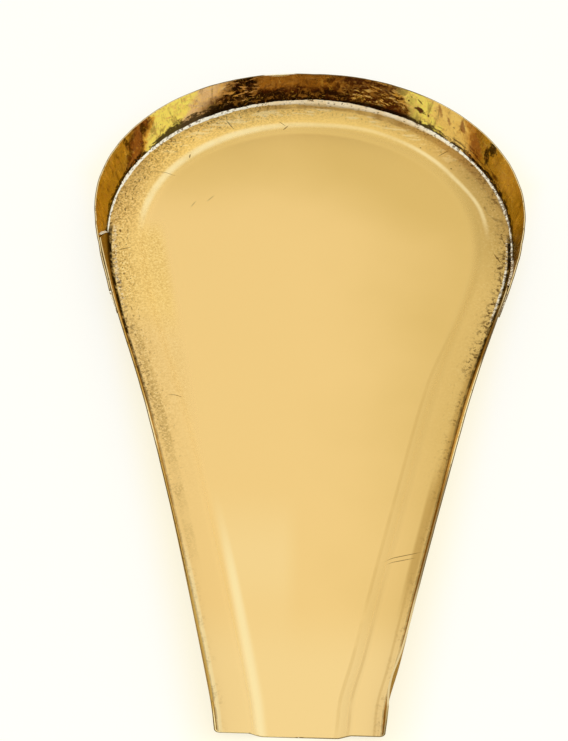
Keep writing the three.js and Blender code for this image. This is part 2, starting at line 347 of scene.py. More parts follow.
def cut(bm, point, normal, verts=None):
    """Cuts away what lies beyond a plane, of the whole mesh or of some of its points."""
    chosen = dict.fromkeys(bm.verts if verts is None else verts)  # in order, unlike a set
    faces = [face for face in bm.faces if all(vert in chosen for vert in face.verts)]
    edges = [edge for edge in bm.edges if all(vert in chosen for vert in edge.verts)]
    bmesh.ops.bisect_plane(
        bm, geom=[*chosen, *edges, *faces], dist=1e-7, plane_co=point, plane_no=normal,
        clear_outer=True)


def face_towards(bm, pick, direction):
    """Turns all faces one way, so that the face picked as the largest looks in a direction."""
    bmesh.ops.recalc_face_normals(bm, faces=bm.faces)
    if max(bm.faces, key=pick).normal.dot(direction) < 0.0:
        bmesh.ops.reverse_faces(bm, faces=bm.faces)


def push(bm, amount):
    """Moves each point along its normal by an amount found for that point."""
    bm.normal_update()
    moves = [vert.normal * amount(vert) for vert in bm.verts]
    for vert, move in zip(bm.verts, moves):
        vert.co += move


def hammer(bm, depth, size, low, high):
    """Dents the mesh, from nothing at the low height to the full depth at the high one."""
    rise = bm.verts.layers.float["rise"]

    def dent(vert):
        hold = min(max((vert[rise] - low) / (high - low), 0.0), 1.0)
        broad = noise.noise(vert.co / size)
        fine = noise.noise(vert.co / size * 2.6 + Vector((7.0, 3.0, 1.0)))
        return depth * hold * (min(max(0.5 + 0.62 * broad + 0.3 * fine, 0.0), 1.0) - 0.3)

    push(bm, dent)


def lumpy(bm, depth, size):
    """Makes a bead's surface uneven, as metal that has run and set."""
    def lump(vert):
        broad = noise.noise(vert.co / (size * 8.0))
        return depth * (1.2 * broad + 0.6 * noise.noise(vert.co / size) - 0.2)

    push(bm, lump)


def thicken(bm, sizes):
    """Gives a drawn face the sheet's thickness on its far side: inner faces, outer faces, edges."""
    outer = bm.verts.layers.float["outer"]
    inner_faces, inner_verts = set(bm.faces), set(bm.verts)
    bmesh.ops.solidify(bm, geom=list(bm.faces), thickness=sizes.sheet)
    for vert in bm.verts:
        vert[outer] = 0.0 if vert in inner_verts else 1.0
    for face in bm.faces:
        far = sum(vert not in inner_verts for vert in face.verts)
        face.material_index = 0 if face in inner_faces else 1 if far == len(face.verts) else 2


def finish_piece(name, bm, materials, node):
    """Turns a mesh into a shaded piece that stands for a solid and rides with the tray."""
    for vert in bm.verts:
        vert.co = [
            min(max(value, low), high) for value, low, high in zip(vert.co, CAD_LOW, CAD_HIGH)]
    for face in bm.faces:
        face.smooth = True
    for edge in bm.edges:
        edge.smooth = edge.calc_face_angle(0.0) < SMOOTH_BELOW
    mesh = bpy.data.meshes.new(name)
    bm.to_mesh(mesh)
    bm.free()
    for material in materials:
        mesh.materials.append(material)
    piece = bpy.data.objects.new(name, mesh)
    bpy.context.scene.collection.objects.link(piece)
    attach(piece, BODY)
    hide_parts(node)
    return piece


def finish_sheet(name, bm, sizes, tints, inner, node):
    """Thickens a sheet, finishes it, and rounds its cut edges as filing leaves them."""
    thicken(bm, sizes)
    worn = finish_piece(name, bm, sheet_materials(tints, inner(tints)), node).modifiers.new(
        "Worn edges", "BEVEL")
    worn.width = sizes.edge_wear
    worn.segments = 2
    worn.limit_method = "ANGLE"
    worn.angle_limit = BEVEL_ABOVE
    worn.harden_normals = True


def bead(name, node, section, run, places, tints, unevenness=None):
    """A closed run of brazing metal, from its section to the finished piece."""
    bm = new_mesh()
    sweep(bm, section, run, places, closed=True)
    bmesh.ops.recalc_face_normals(bm, faces=bm.faces)
    if unevenness:
        lumpy(bm, *unevenness)
    material = made_once("pale_brazing", brazing_finish, tints)
    finish_piece(name, bm, [material], node)


def joined(operation, swapped=False):
    """A method that joins two numbers with one Math node."""
    def method(first, second=0.0):
        pair = {0: second, 1: first} if swapped else {0: first, 1: second}
        return first.make.add("ShaderNodeMath", pair, operation=operation)
    return method


class Wire:
    """What one shader node hands to the next; plain arithmetic on it adds nodes."""

    def __init__(self, make, socket):
        self.make, self.socket = make, socket

    __add__ = __radd__ = joined("ADD")
    __mul__ = __rmul__ = joined("MULTIPLY")
    __sub__, __rsub__ = joined("SUBTRACT"), joined("SUBTRACT", swapped=True)
    __truediv__ = joined("DIVIDE")
    __or__ = joined("MAXIMUM")
    __abs__ = joined("ABSOLUTE")

    def band(self, none, full):
        """0 where this is at or before none, 1 at or past full, and smooth between."""
        return self.make.add(
            "ShaderNodeMapRange", {"Value": self, "From Min": none, "From Max": full},
            interpolation_type="SMOOTHSTEP")

    def window(self, start, full, fading, end):
        """1 from full to fading, and falling off smoothly to 0 at the start and at the end."""
        return self.band(start, full) * self.band(end, fading)


class Nodes:
    """Adds nodes to one material or world, and links each as it is added."""

    def __init__(self, owner):
        owner.use_nodes = True
        self.tree = owner.node_tree
        self.tree.nodes.clear()

    def add(self, kind, inputs=None, output=0, **settings):
        """One node with its settings and inputs; gives back one of its outputs."""
        node = self.tree.nodes.new(kind)
        for name, value in settings.items():
            setattr(node, name, value)
        for name, value in (inputs or {}).items():
            if isinstance(value, Wire):
                self.tree.links.new(value.socket, node.inputs[name])
            else:
                node.inputs[name].default_value = value
        return Wire(self, node.outputs[output]) if len(node.outputs) else node

    def parts(self, vector):
        """A vector's three parts."""
        first = self.add("ShaderNodeSeparateXYZ", {0: vector})
        return [Wire(self, socket) for socket in first.socket.node.outputs]

    def known(self, name):
        """A number that the mesh keeps at its points."""
        return self.add("ShaderNodeAttribute", output="Fac", attribute_name=name)

    def blend(self, amount, first, second):
        """One colour over another."""
        first, second = (c if isinstance(c, Wire) else (*c, 1.0) for c in (first, second))
        return self.add(
            "ShaderNodeMix", {FACTOR: amount, COLOUR_A: first, COLOUR_B: second},
            output=COLOUR_OUT, data_type="RGBA")


class Finish(Nodes):
    """A new material, laid out in millimetres, with a coat that colours are painted over."""

    def __init__(self, name, coat):
        self.material = bpy.data.materials.new(name)
        super().__init__(self.material)
        self.coat = coat
        self.place = self.add("ShaderNodeTexCoord", output="Object")
        self.place = self.stretched((MM, MM, MM))

    def paint(self, amount, tint):
        """Paints a colour over the coat."""
        self.coat = self.blend(amount, self.coat, tint)

    def stretched(self, scale, turn=0.0):
        """The place, stretched and turned, for a pattern that runs one way."""
        return self.add("ShaderNodeMapping", {
            "Vector": self.place, "Rotation": (0.0, 0.0, turn), "Scale": scale})

    def cloud(self, size, detail=2.0, roughness=0.5, distortion=0.0, at=None):
        """Noise whose lumps are about a size across."""
        return self.add("ShaderNodeTexNoise", {
            "Vector": at or self.place, "Scale": 1.0 / size, "Detail": detail,
            "Roughness": roughness, "Distortion": distortion})

    def ramp(self, value, stops):
        """A coat that changes along a number, through stops of a number and a colour."""
        low, high = stops[0][0], stops[-1][0]
        part = self.add("ShaderNodeMapRange", {"Value": value, "From Min": low, "From Max": high})
        self.coat = self.add("ShaderNodeValToRGB", {"Fac": part})
        elements = self.coat.socket.node.color_ramp.elements
        elements.remove(elements[1])
        elements[0].color = (*stops[0][1], 1.0)
        for place, tint in stops[1:]:
            elements.new((place - low) / (high - low)).color = (*tint, 1.0)

    def marks(self, rows, level=0.0, tall=10.0):
        """Scratches or pits: 1 in each one's middle and 0 past its ends.

        Each row has its place along two axes, its turn in degrees, its length and its width.
        """
        total = 0.0
        for x, y, turn, long, wide in rows:
            placed = self.add("ShaderNodeMapping", {
                "Vector": self.place, "Location": (x, y, level),
                "Rotation": (0.0, 0.0, math.radians(turn)),
                "Scale": (long / 2, wide / 2, tall / 2)}, vector_type="TEXTURE")
            total = self.add(
                "ShaderNodeTexGradient", {"Vector": placed}, output="Fac",
                gradient_type="SPHERICAL") | total
        return total

    def metal(self, rough, height, strength, depth, metallic=1.0):
        """Ends the material as metal: its roughness, small relief and share of bare metal."""
        relief = self.add("ShaderNodeBump", {
            "Height": height, "Strength": strength, "Distance": depth})
        shader = self.add("ShaderNodeBsdfPrincipled", {
            "Base Color": self.coat, "Metallic": metallic, "Roughness": rough, "Normal": relief,
            "Specular Tint": (1.0, 0.78, 0.36, 1.0)})
        self.add("ShaderNodeOutputMaterial", {"Surface": shader})
        return self.material


def sheet_finish(tints):
    """The floor sheet's inner face: polished channel, grainy ledge, brown folded sides, and painted
    highlights and shade.
    """
    make = Finish("floor_and_sides_brass", tints.polished)
    paint, cloud, marks = make.paint, make.cloud, make.marks
    x, y, _ = make.parts(make.place)
    inset, rise = make.known("inset") * MM, make.known("rise") * MM
    on_left, on_right = x.band(0, -10), x.band(0, 10)
    fine = cloud(1, 2, 0.8)

    # The channel: painted shade darkens it towards the round end and its right side, over a cloudy
    # drift of tone, and painted light brightens it towards the mouth
    drift = (cloud(50) - 0.5) * 0.5
    shaded_channel = drift + (x.band(-15, 85) * 0.85 + y.band(80, 150) * 0.75)
    paint(shaded_channel.band(0.02, 1) * y.band(-165, -110), tints.shaded_channel)
    paint(y.band(-115, -150) * 0.22, tints.crest)

    # The ledge: a fine brown grain, stronger to the left and behind
    leftward = x.band(20, -45)
    spilt = (x + y * 0.1775).band(-50, -56) * y.band(100, 85)
    ledge = inset.band(-17.8, -13.2) | spilt
    tip_ledge = inset.band(-16, -11) * y.band(115, 150) * x.band(75, 20)
    paint(tip_ledge, tints.gilt)
    paint(ledge * leftward * y.band(20, 50) * 0.5, tints.gilt)
    behind = y.band(-100, 30)
    worn = cloud(16, 3, 0.6).band(0.3, 0.6)
    toward = inset.band(-12.5, -6)
    strong = (ledge * behind * (leftward * 0.65 + 0.35) * (toward * 0.44 + 0.56)
              * (y.band(30, 70) * 0.45 + 0.55))
    grainy = fine.band(0.42, 0.62) * strong * (worn * 0.45 + 0.55)
    paint(ledge * y.band(50, 90) * x.band(55, 80) * 0.3, tints.olive)
    strip = (inset.window(-7.2, -5.8, -3.2, -2) * y.window(-110, -60, 20, 45)
             * on_left * (worn * fine.band(0.4, 0.56) * 0.45 + 0.08))
    paint(strip, tints.olive)
    paint(grainy * 0.8, tints.grain)
    paint(fine.band(0.42, 0.32) * strong * 0.6, tints.crest)
    specks = cloud(1.2, at=make.stretched((1.0, 0.7, 1.0))).band(0.6, 0.68)
    paint(specks * strong * toward * 0.85, tints.tarnish)

    # A painted highlight along the step's crest, round the wide end and down the spout's left side
    leftmost, rightmost = x.band(10, -45), x.band(40, 56)
    crest_line = 14.2 - (x.band(0, 35) * 1.6 + rightmost * y.band(130, 106) * 2.4)
    off_crest = abs(inset + crest_line) / (leftmost * 0.28 + 0.72)
    highlighted = cloud(14, 3, 0.6).band(0.25, 0.55)
    end_crest_highlight = (off_crest.band(2.3, 0.3) * y.band(85, 110)
                  * (leftmost * 0.48 + rightmost * 0.38 + 0.4) * (highlighted * 0.35 + 0.65))
    off_spout_crest = abs(inset + (y * 0.021 + 21.2))
    left_crest_highlight = off_spout_crest.band(3.6, 0.2) * on_left * y.band(-55, -110) * 0.8
    paint(end_crest_highlight | left_crest_highlight, tints.crest)

    # Thin lines and films on the right ledge, and a painted reflection beside the left wall
    drawn = 18.6 - y.band(0, 50) * 2.5
    lines = (abs(inset + drawn).band(1.1, 0.3) * y.band(55, 0)
             | abs(inset + 14).band(0.9, 0.2) * y.band(-100, -125))
    broken = cloud(20).band(0.25, 0.55)
    paint(lines * on_right * broken * 0.24, tints.grain)
    off_strip = abs(inset + 3.6)
    by_mouth = y.band(-95, -130)
    broad = (off_strip.band(2.4, 0.8) * 0.6 + inset.band(-3, -1.6) * 0.3) * (1 - by_mouth)
    narrow = off_strip.band(0.8, 0.2) * by_mouth * 0.32
    paint((broad + narrow) * on_right * y.band(-35, -70), tints.grain)
    browned = inset.band(-4.2, -1.2) * on_right * y.window(-85, -55, 5, 30)
    paint(browned * 0.75, tints.grain)
    # Painted reflection: a pale line on the ledge beside the left wall, towards the mouth
    paint(inset.band(-3, -2) * on_left * y.band(-80, -110) * 0.6, tints.crest)

    # Tarnish beside the walls, and painted shade below the brazing metal
    spots = cloud(1.4, 4, 0.7).band(0.5, 0.6)
    spread = cloud(10).band(0.38, 0.6)
    spotted = spots * inset.band(-6, -1) * spread * (behind * 0.65 + 0.2)
    paint(spotted, tints.tarnish)
    round_end = y.band(80, 100)
    centred = x.window(-40, -10, 30, 50)
    rightwards = x.window(20, 45, 75, 90)
    reach = centred * 1.2 + rightwards * 1.6 + 2
    beside = ((inset + reach).band(-1.2, 0.2) * round_end * cloud(10, 3).band(0.25, 0.5)
              * (centred * 0.45 + rightwards * 0.35 + 0.15))
    # Painted shade: a brown band on the ledge below the brazing metal, in the heated and tarnish
    # colours
    paint(beside, tints.heated)
    paint(beside * 0.35, tints.tarnish)
    brushed = cloud(2, 3, 0.6, at=make.stretched((0.25, 1.0, 1.0), 0.08)).band(0.5, 0.6)
    gilded = brushed * inset.window(-9.8, -8, -4.2, -3) * y.band(130, 150)
    paint(gilded * 0.55, tints.crest)

    # Brazing metal that ran on along the folds, and grain beside the right lap
    ragged_edge = cloud(2.8, 3, 0.6).band(0.4, 0.56)
    run_left = (abs(inset + 2.4).band(1.3, 0.4) * on_left * y.window(28, 50, 88, 100)
                * ragged_edge * fine.band(0.62, 0.44) * 0.34)
    run_right = (abs(inset + 1.5).band(0.7, 0.3) * on_right * y.window(36, 44, 85, 92)
                 * (ragged_edge * 0.45 + 0.45) * (1 - y.band(66, 76) * fine.band(0.4, 0.54)))
    paint((run_left | run_right) * rise.band(1.2, 0.6), tints.brazing)
    by_lap = (cloud(1.9, 4, 0.78).band(0.515, 0.575) * inset.band(-7.8, -2.6)
              * x.band(50, 60) * y.window(-2, 12, 92, 104))
    paint(by_lap * 0.85, tints.tarnish)

    # Scratches and pits
    on_floor = {"level": 3.0, "tall": 20.0}
    scratches = marks([
        (-39.5, 159.2, -55.7, 8.6, 0.55), (-12.4, 159.6, 40, 4, 0.5), (-14.2, 161.4, -30, 5, 0.35),
        (64.1, 144.2, 38.5, 8, 0.5), (-85.4, 76, 18, 7.6, 0.5), (87.6, 76.8, -61, 7.5, 0.7),
        (41.7, -93, 15.7, 19, 0.4), (41, -95.4, 15, 15, 0.35), (-57.5, -10, 2, 8, 0.4),
        (-70.5, 126, 0, 17, 0.3), (-55, 108, 60, 5, 0.3), (-47, 112, 50, 6, 0.3)], **on_floor)
    pits = marks([
        (88.2, 70.6, 10, 2.4, 2), (87.6, 77, 0, 1.8, 1.6), (84, 48.5, 40, 1.8, 1.5),
        (82.6, 43, 0, 1.6, 1.4), (75.6, 16.5, 0, 2.2, 1.8), (-86.8, 55, 20, 2.2, 1.8),
        (90.6, 76.7, 0, 1.8, 1.6), (77.5, 136.5, -40, 2.2, 1.5), (-58, 138, 80, 2.6, 0.7),
        (67.5, 134, 0, 1.1, 1), (53, 147.5, 0, 1, 0.9)], **on_floor)
    rings = marks([(79.5, 128.5, -40, 12, 7), (87, 108, -65, 20, 9)], **on_floor)
    rings = rings.window(0.02, 0.16, 0.2, 0.42) * cloud(4, 3).band(0.4, 0.6)
    marked = scratches.band(0, 0.45) | pits.band(0, 0.5) | rings * 0.5
    paint(marked * 0.9, tints.tarnish)

    # The folded sides, darker towards their foot, with painted shade on the right side and along
    # their fold's corner, and painted highlights
    spoutward = y.band(30, 0)
    # The right side takes a darker copy of the sides' colour: painted shade
    right = make.blend(spoutward, tints.right_side, tints.spout_side)
    left = make.blend(y.band(-40, -80) * 0.9, tints.left_side, tints.spout_side)
    left = make.blend(y.band(30, 55) * 0.75, left, tints.right_side)
    sides = make.blend(x.band(-10, 10), left, right)
    streaks = cloud(4, 3, 0.6, at=make.stretched((1.0, 0.35, 1.0), -0.22))
    low = rise.band(8, 2) * (1 - spoutward * 0.6)
    sides = make.blend(streaks.band(0.45, 0.75) * 0.6 | low, sides, tints.tarnish)
    # Painted highlights on both sides
    lit_right = rise.band(0.6, 1.4) * on_right * y.window(-78, -44, -20, 12)
    lit_left = on_left * y.window(-66, -44, -30, -10)
    sides = make.blend(lit_right | lit_left, sides, tints.crest)
    paint(rise.band(0.3, 1.2), sides)
    # Painted shade along the fold's corner, in the soot colour
    corner = inset.band(-1.5, -0.8) * rise.band(4.2, 2.2) * y.band(94, 86)
    ragged = cloud(3.5, 3, 0.6).band(0.34, 0.56)
    paint(corner * (ragged * 0.55 + 0.45) * (y.band(-40, 30) * 0.6 + 0.4), tints.soot)

    raised = inset.band(-15, -11.5)
    rough = raised * (round_end * 0.14 + 0.08) + (spotted | grainy) * 0.18 + 0.27
    relief = cloud(35, 1) * 0.4 + fine * strong * toward * 0.1 - marked * 0.06
    satin = 1 - raised * round_end * (tip_ledge * 0.3 + 0.45)
    return make.metal(rough, relief, 0.5, 0.0006, satin)


def wall_finish(tints):
    """The end wall's inner face: hammered, polished in patches that also carry painted reflection,
    stained by brazing, and with painted light and shade.
    """
    make = Finish("end_wall_brass", tints.bronze)
    paint, cloud, marks = make.paint, make.cloud, make.marks
    rise, around = make.known("rise") * MM, make.known("around") * MM
    mottle = cloud(3.2, 4, 0.68, 0.8)
    make.place = make.add("ShaderNodeCombineXYZ", {0: around, 1: rise, 2: 0.0})
    blotch = cloud(6, 4, 0.62, 0.8)
    drift = blotch - 0.5
    rightward = around.window(10, 45, 70, 95)
    slant = rightward - around.band(-20, -50)
    along = around + (drift * 16 + (rise - 8) * slant * 0.8)
    # The bright patches round the end are partly polished brass and partly painted reflection
    make.ramp(along, [
        (-190, tints.shoulder), (-158, tints.bronze), (-104, tints.bronze), (-100, tints.burnt),
        (-97, tints.rust), (-92, tints.rust), (-88.5, tints.burnt), (-86, tints.orange),
        (-84, tints.bright), (-63, tints.bright), (-60, tints.tan), (-45, tints.tan),
        (-40, tints.burnt), (-30, tints.burnt), (-24, tints.scorched), (8, tints.scorched),
        (20, tints.burnt), (34, tints.heated), (46.5, tints.orange), (48.5, tints.bright),
        (61, tints.bright), (64, tints.orange), (80, tints.orange), (85, tints.heated),
        (90, tints.bronze), (138, tints.bronze), (154, tints.shoulder), (190, tints.shoulder)])

    # Strokes of the hammer, brown, dark and black stains, and fine lines at the right foot
    strokes = cloud(3, 4, 0.65, 0.4, at=make.stretched((1.0, 0.3, 1.0), 0.35))
    paint(strokes.band(0.52, 0.66) * 0.55, tints.burnt)
    paint(strokes.band(0.44, 0.32) * 0.55, tints.orange)
    cloudy = drift * 1.2
    jagged = (cloud(2.4, 4, 0.7) - 0.5) * 1.5
    brown = cloudy + jagged + marks([
        (88, 7, -48, 19, 10), (63.2, 13, -60, 9, 3.4), (69, 10.5, -50, 6, 2.6),
        (77, 12, -55, 10, 4)])
    paint(brown.band(0.14, 0.6) * 0.85, tints.rust)
    stain = cloudy + jagged * 0.6 + marks([(-100, 12, 0, 5, 14), (-88, 13, 30, 6, 9)])
    paint(stain.band(0.28, 0.55) * 0.9, tints.shoulder)
    black = jagged + marks([(97.3, 13.8, 12, 8, 11), (95.4, 8.8, 22, 5.5, 13)])
    paint(black.band(0.22, 0.46) * 0.9, tints.soot)
    scored = cloud(1.1, 2, 0.6, at=make.stretched((0.12, 1.0, 1.0))).band(0.52, 0.6)
    scored = scored * around.window(50, 75, 115, 135) * rise.band(6.8, 4.8)
    paint(scored * 0.8, tints.burnt)

    # Black at the foot of the wall's middle, and dark and gold flakes to its right
    middle = around.window(-60, -44, 30, 58)
    paint(middle * (rise + drift * 10).band(10.5, 7.5), tints.burnt)
    paint(middle * (rise + drift * 12).band(8.5, 5) * 0.8, tints.soot)
    high = around.window(-12, 10, 40, 55) * blotch.band(0.46, 0.58)
    paint(high * 0.8, tints.burnt)
    flaking = make.stretched((1.0, 3.0, 1.0), 0.85)
    flakes = cloud(4.2, 4, 0.68, 0.6, at=flaking)
    flaked = along.window(12, 26, 44, 48.5)
    paint(flaked * flakes.band(0.49, 0.44), tints.burnt)
    shine = flaked * rise.window(2, 4, 12.5, 15)
    paint(shine * flakes.band(0.52, 0.56), tints.orange)
    paint(shine * flakes.band(0.545, 0.58), tints.tan)
    pale = shine * flakes.band(0.552, 0.588) * rise.band(14, 10.5) * along.band(16, 22)
    paint(pale * 0.9, tints.crest)
    patchy = (cloud(13, 2, 0.6, 0.4, at=flaking) + rise * 0.004).band(0.545, 0.57)
    paint(flaked * patchy * along.band(47, 42) * 0.8, tints.burnt)
    speckled = along.window(-48, -41, -30, -22)
    paint(speckled * flakes.band(0.55, 0.49) * 0.95, tints.soot)
    paint(speckled * flakes.band(0.56, 0.61) * 0.8, tints.tan)
    # Painted light on the wall's upper part, far right of the middle
    lit = around.window(100, 112, 116, 130) * rise.band(4, 8)
    paint(lit * 0.4, tints.orange)

    # Streaks and pits in the bright patches, and a mottle all over
    brighter = (along.window(-87, -83, -58, -40)
                | along.window(44, 48.5, 74, 88))
    paint(brighter * flakes.band(0.52, 0.64) * 0.8, tints.orange)
    paint(brighter * flakes.band(0.64, 0.7) * 0.8, tints.heated)
    paint(mottle.band(0.5, 0.68) * 0.55, tints.heated)
    paint(mottle.band(0.42, 0.32) * 0.35, tints.orange)
    pits = marks([
        (53.3, 8.4, -14, 7.6, 3.6), (58.3, 7.5, 0, 1.5, 1.7), (52.7, 12.6, -30, 4.6, 0.9),
        (48, 13.4, 0, 1.1, 1.2), (46.9, 11, 0, 1.1, 1.2)])
    paint((pits + jagged * 1.3).band(0.24, 0.42), tints.burnt)
    # Painted highlight at the top of the wall near the tip, in the brazing metal's pale colour
    paint(marks([(-15.5, 15.8, 0, 14, 2.4)]).band(0.15, 0.55), tints.brazing)

    # Soot and painted shade in the ragged corner above the brazing metal, wider left of the middle
    left_soot = around.window(-88, -74, -50, -30) * 3.4
    right_soot = around.window(6, 26, 60, 72) * 1.6
    height = abs(around).band(88, 105) * 0.9 + (left_soot + right_soot) + 2.2
    depth = height + (flakes - 0.5) * 12 - rise
    soot_and_shade = (depth.band(0, 1.8) * mottle.band(0.34, 0.46)
             | depth.band(0.2, 0.8) * rise.band(3.4, 2.6))
    paint(soot_and_shade * 0.94, tints.soot)

    # The bright patches are less metallic, so that their painted reflection shows as colour
    rough = brighter * 0.14 + mottle.band(0.4, 0.7) * 0.12 + 0.27
    return make.metal(rough, mottle * 0.5 + blotch * 1.6, 0.7, 0.0006, 1 - brighter * 0.75)


def outer_finish(tints):
    """The outer faces and the underside: dull brass with handling marks."""
    make = Finish("outer_brass", tints.underside)
    paint, cloud = make.paint, make.cloud
    _, y, z = make.parts(make.place)
    cloudy = cloud(22, 4, 0.6)
    spots = cloud(2.5, 4, 0.65)
    paint(cloudy.band(0.35, 0.68), tints.olive)
    paint(spots.band(0.58, 0.68) * 0.6, tints.tarnish)
    paint(y.band(-80, -120) * z.band(1.5, 3) * 0.85, tints.spout_side)
    return make.metal(cloudy * 0.2 + 0.33, spots * 0.3 + cloudy, 0.5, 0.0003)


def edge_finish(tints):
    """The filed cut edges: pale by the inner face, with painted highlights in stretches, painted
    shade on the outer half, and darker at the tip and in nicks.
    """
    make = Finish("cut_edge_brass", tints.cut_edge)
    paint, cloud = make.paint, make.cloud
    x, y, _ = make.parts(make.place)
    outer, around = make.known("outer"), make.known("around") * MM
    nicks = cloud(3, 4, 0.7)
    left, right = x.band(10, -10), x.band(-10, 10)
    # Darker: painted shade on the outer half, darker brass at the tip and on parts of the right
    # side, and nicks
    dull = (abs(around).band(64, 50) | y.band(48, 20) * right * y.band(-4, 4)
            | y.band(-52, -66) * right * 0.75 | outer.band(0.4, 0.62)
            | nicks.band(0.55, 0.66) * 0.8)
    # Painted highlight on the edge near the tip, in the brazing metal's pale colour
    bare = abs(around + 15.5).band(8.5, 6)
    by_mouth = y.window(-179, -174, -135, -110) * 0.85
    dull = dull * (1 - (bare | by_mouth))
    paint(y.band(45, 10) * left, tints.left_side)
    # Painted highlights in stretches along the edge
    worn = (right * y.window(-62, -50, -10, 0) | left * y.window(-56, -46, -32, -22)
            | y.band(-176.5, -178.5) * outer.band(0.75, 0.6))
    paint(worn, tints.crest)
    paint(bare, tints.brazing)
    paint(dull * 0.92, tints.worn_and_shaded_edge)
    return make.metal(nicks * 0.2 + 0.28, nicks, 0.4, 0.0002)


def brazing_finish(tints):
    """The pale, grainy metal that has run into the joints."""
    make = Finish("pale_brazing", tints.brazing)
    paint, cloud = make.paint, make.cloud
    x, y, _ = make.parts(make.place)
    inset = make.known("inset") * MM
    grain = cloud(1.6, 3, 0.8)
    patches = cloud(10, 3, 0.6)
    middle = x.window(-40, -10, 40, 66) * y.band(140, 150)
    toe = inset.band(-0.6, -1.5)
    paint(middle * (patches.band(0.4, 0.6) * 0.4 + 0.55), tints.cream)
    paint(x.band(20, 45) * toe * 0.7, tints.cream)
    # Painted shade: an olive line along the fillet's toe in the middle
    paint(middle * toe * 0.6, tints.olive)
    coarse = x.band(70, 88) * y.band(135, 112)
    rim = inset.band(-0.5, -0.1) | inset.band(-1.3, -1.7)
    rim = rim * (x.band(45, 80) * 0.65 + 0.35)
    pitted = grain + (coarse * 0.075 + rim * 0.075) - middle * 0.035
    paint(pitted.band(0.545, 0.6) * 0.85, tints.tarnish)
    return make.metal(grain * 0.3 + 0.3, grain + patches, 0.8, 0.0004, 0.35)


def made_once(name, finish, tints):
    """A material that several pieces share."""
    return bpy.data.materials.get(name) or finish(tints)


def sheet_materials(tints, inner):
    """Inner face, outer face and cut edge, in the order that the thickened sheet uses."""
    return [inner, made_once("outer_brass", outer_finish, tints),
            made_once("cut_edge_brass", edge_finish, tints)]


class TRAY_OT_floor_and_sides(bpy.types.Operator):
    """Build the floor sheet with its recessed channel and folded-up sides"""

    bl_idname = "tray.floor_and_sides"
    bl_label = "Floor and Folded Sides"

    def execute(self, context):
        sizes, tints = context.scene.tray_sizes, context.scene.tray_finishes
        stations = foot_line(sizes, sizes.pitch)
        step_rows, fold_rows, wall_rows = 10, 5, 9
        channel_rows, ledge_rows = (0.003, 0.0012), (-0.009, -0.006, -0.0035)
        joint = -sizes.fold_radius - 0.0002
        inner = -sizes.ledge_width - sizes.step_run
        bm = new_mesh()

        floor = [(inner - past, -sizes.recess_depth) for past in channel_rows]
        for step in range(step_rows + 1):
            part = 1.0 - step / step_rows
            drop = part * part * (3.0 - 2.0 * part)
            floor.append((-sizes.ledge_width - part * sizes.step_run, -drop * sizes.recess_depth))
        floor += [(offset, 0.0) for offset in (*ledge_rows, joint)]
        sweep(bm, floor, stations, [placing(sizes, s, leaning=False) for s in stations])

        round_end = between(stations, sizes.left_setback, sizes.right_setback)
        edge = [(joint, 0.0), (0.0, 0.0), (sizes.sheet, 0.0)]
        sweep(bm, edge, round_end, [placing(sizes, s, leaning=False) for s in round_end])
        cut(bm, Vector((0.0, CAD_LOW.y, 0.0)), Vector((0.0, -1.0, 0.0)))

        fold = [(joint, 0.0)]
        for step in range(fold_rows + 1):
            turn = step / fold_rows * math.pi / 2
            fold.append((sizes.fold_radius * (math.sin(turn) - 1.0),
                         sizes.fold_radius * (1.0 - math.cos(turn))))
        upright = sizes.wall_height - sizes.fold_radius
        fold += [(0.0, sizes.fold_radius + upright * row / wall_rows)
                 for row in range(1, wall_rows + 1)]
        for side, start, climb in (
                (-1, round_end[0], sizes.left_climb), (1, round_end[-1], sizes.right_climb)):
            self.fold_up(bm, sizes, stations, side, start.back, climb, fold)

        bmesh.ops.remove_doubles(bm, verts=bm.verts, dist=MERGE)
        self.close_channel(bm)
        face_towards(bm, lambda face: face.calc_area(), Vector((0.0, 0.0, 1.0)))
        hammer(bm, sizes.side_dent, size=0.011, low=0.001, high=0.006)
        finish_sheet(
            "floor_and_sides", bm, sizes, tints, sheet_finish, "floor_sheet")
        return {"FINISHED"}

    def fold_up(self, bm, sizes, stations, side, setback, climb, fold):
        """Folds one side up, then cuts its climbing start and its slanted end at the mouth."""
        before = set(bm.verts)
        run = one_side(stations, side, setback, 1.0)
        sweep(bm, fold, run, [placing(sizes, s) for s in run])
        made = [vert for vert in bm.verts if vert not in before]
        ledge = sizes.rim_height - sizes.wall_height
        low = sizes.fold_radius + sizes.sheet
        ordered = sorted(run, key=lambda s: s.back)
        start = ordered[0]
        full = next(s for s in ordered if s.back >= setback + climb)
        travel = (full.foot - start.foot).to_3d()
        rising = travel.normalized() * -(sizes.wall_height - low)
        rising.z = travel.length
        cut(bm, Vector((*start.foot, ledge + low)), rising, made)
        made = [vert for vert in bm.verts if vert not in before]
        slant = Vector((0.0, -sizes.wall_height, sizes.mouth_slant))
        cut(bm, Vector((0.0, CAD_LOW.y, ledge)), slant, made)

    def close_channel(self, bm):
        """Fills the channel's flat floor inside the innermost row of the step."""
        inset = bm.verts.layers.float["inset"]
        deepest = min(vert[inset] for vert in bm.verts)
        row = [
            edge for edge in bm.edges
            if edge.is_boundary and all(vert[inset] < deepest + 1e-5 for vert in edge.verts)
        ]
        used = [vert for edge in row for vert in edge.verts]
        ends = [vert for vert in used if used.count(vert) == 1]
        if len(ends) != 2:
            raise RuntimeError(f"the channel's edge has {len(ends)} ends, and it needs 2")
        row.append(bm.edges.new(ends))
        bmesh.ops.contextual_create(bm, geom=row)


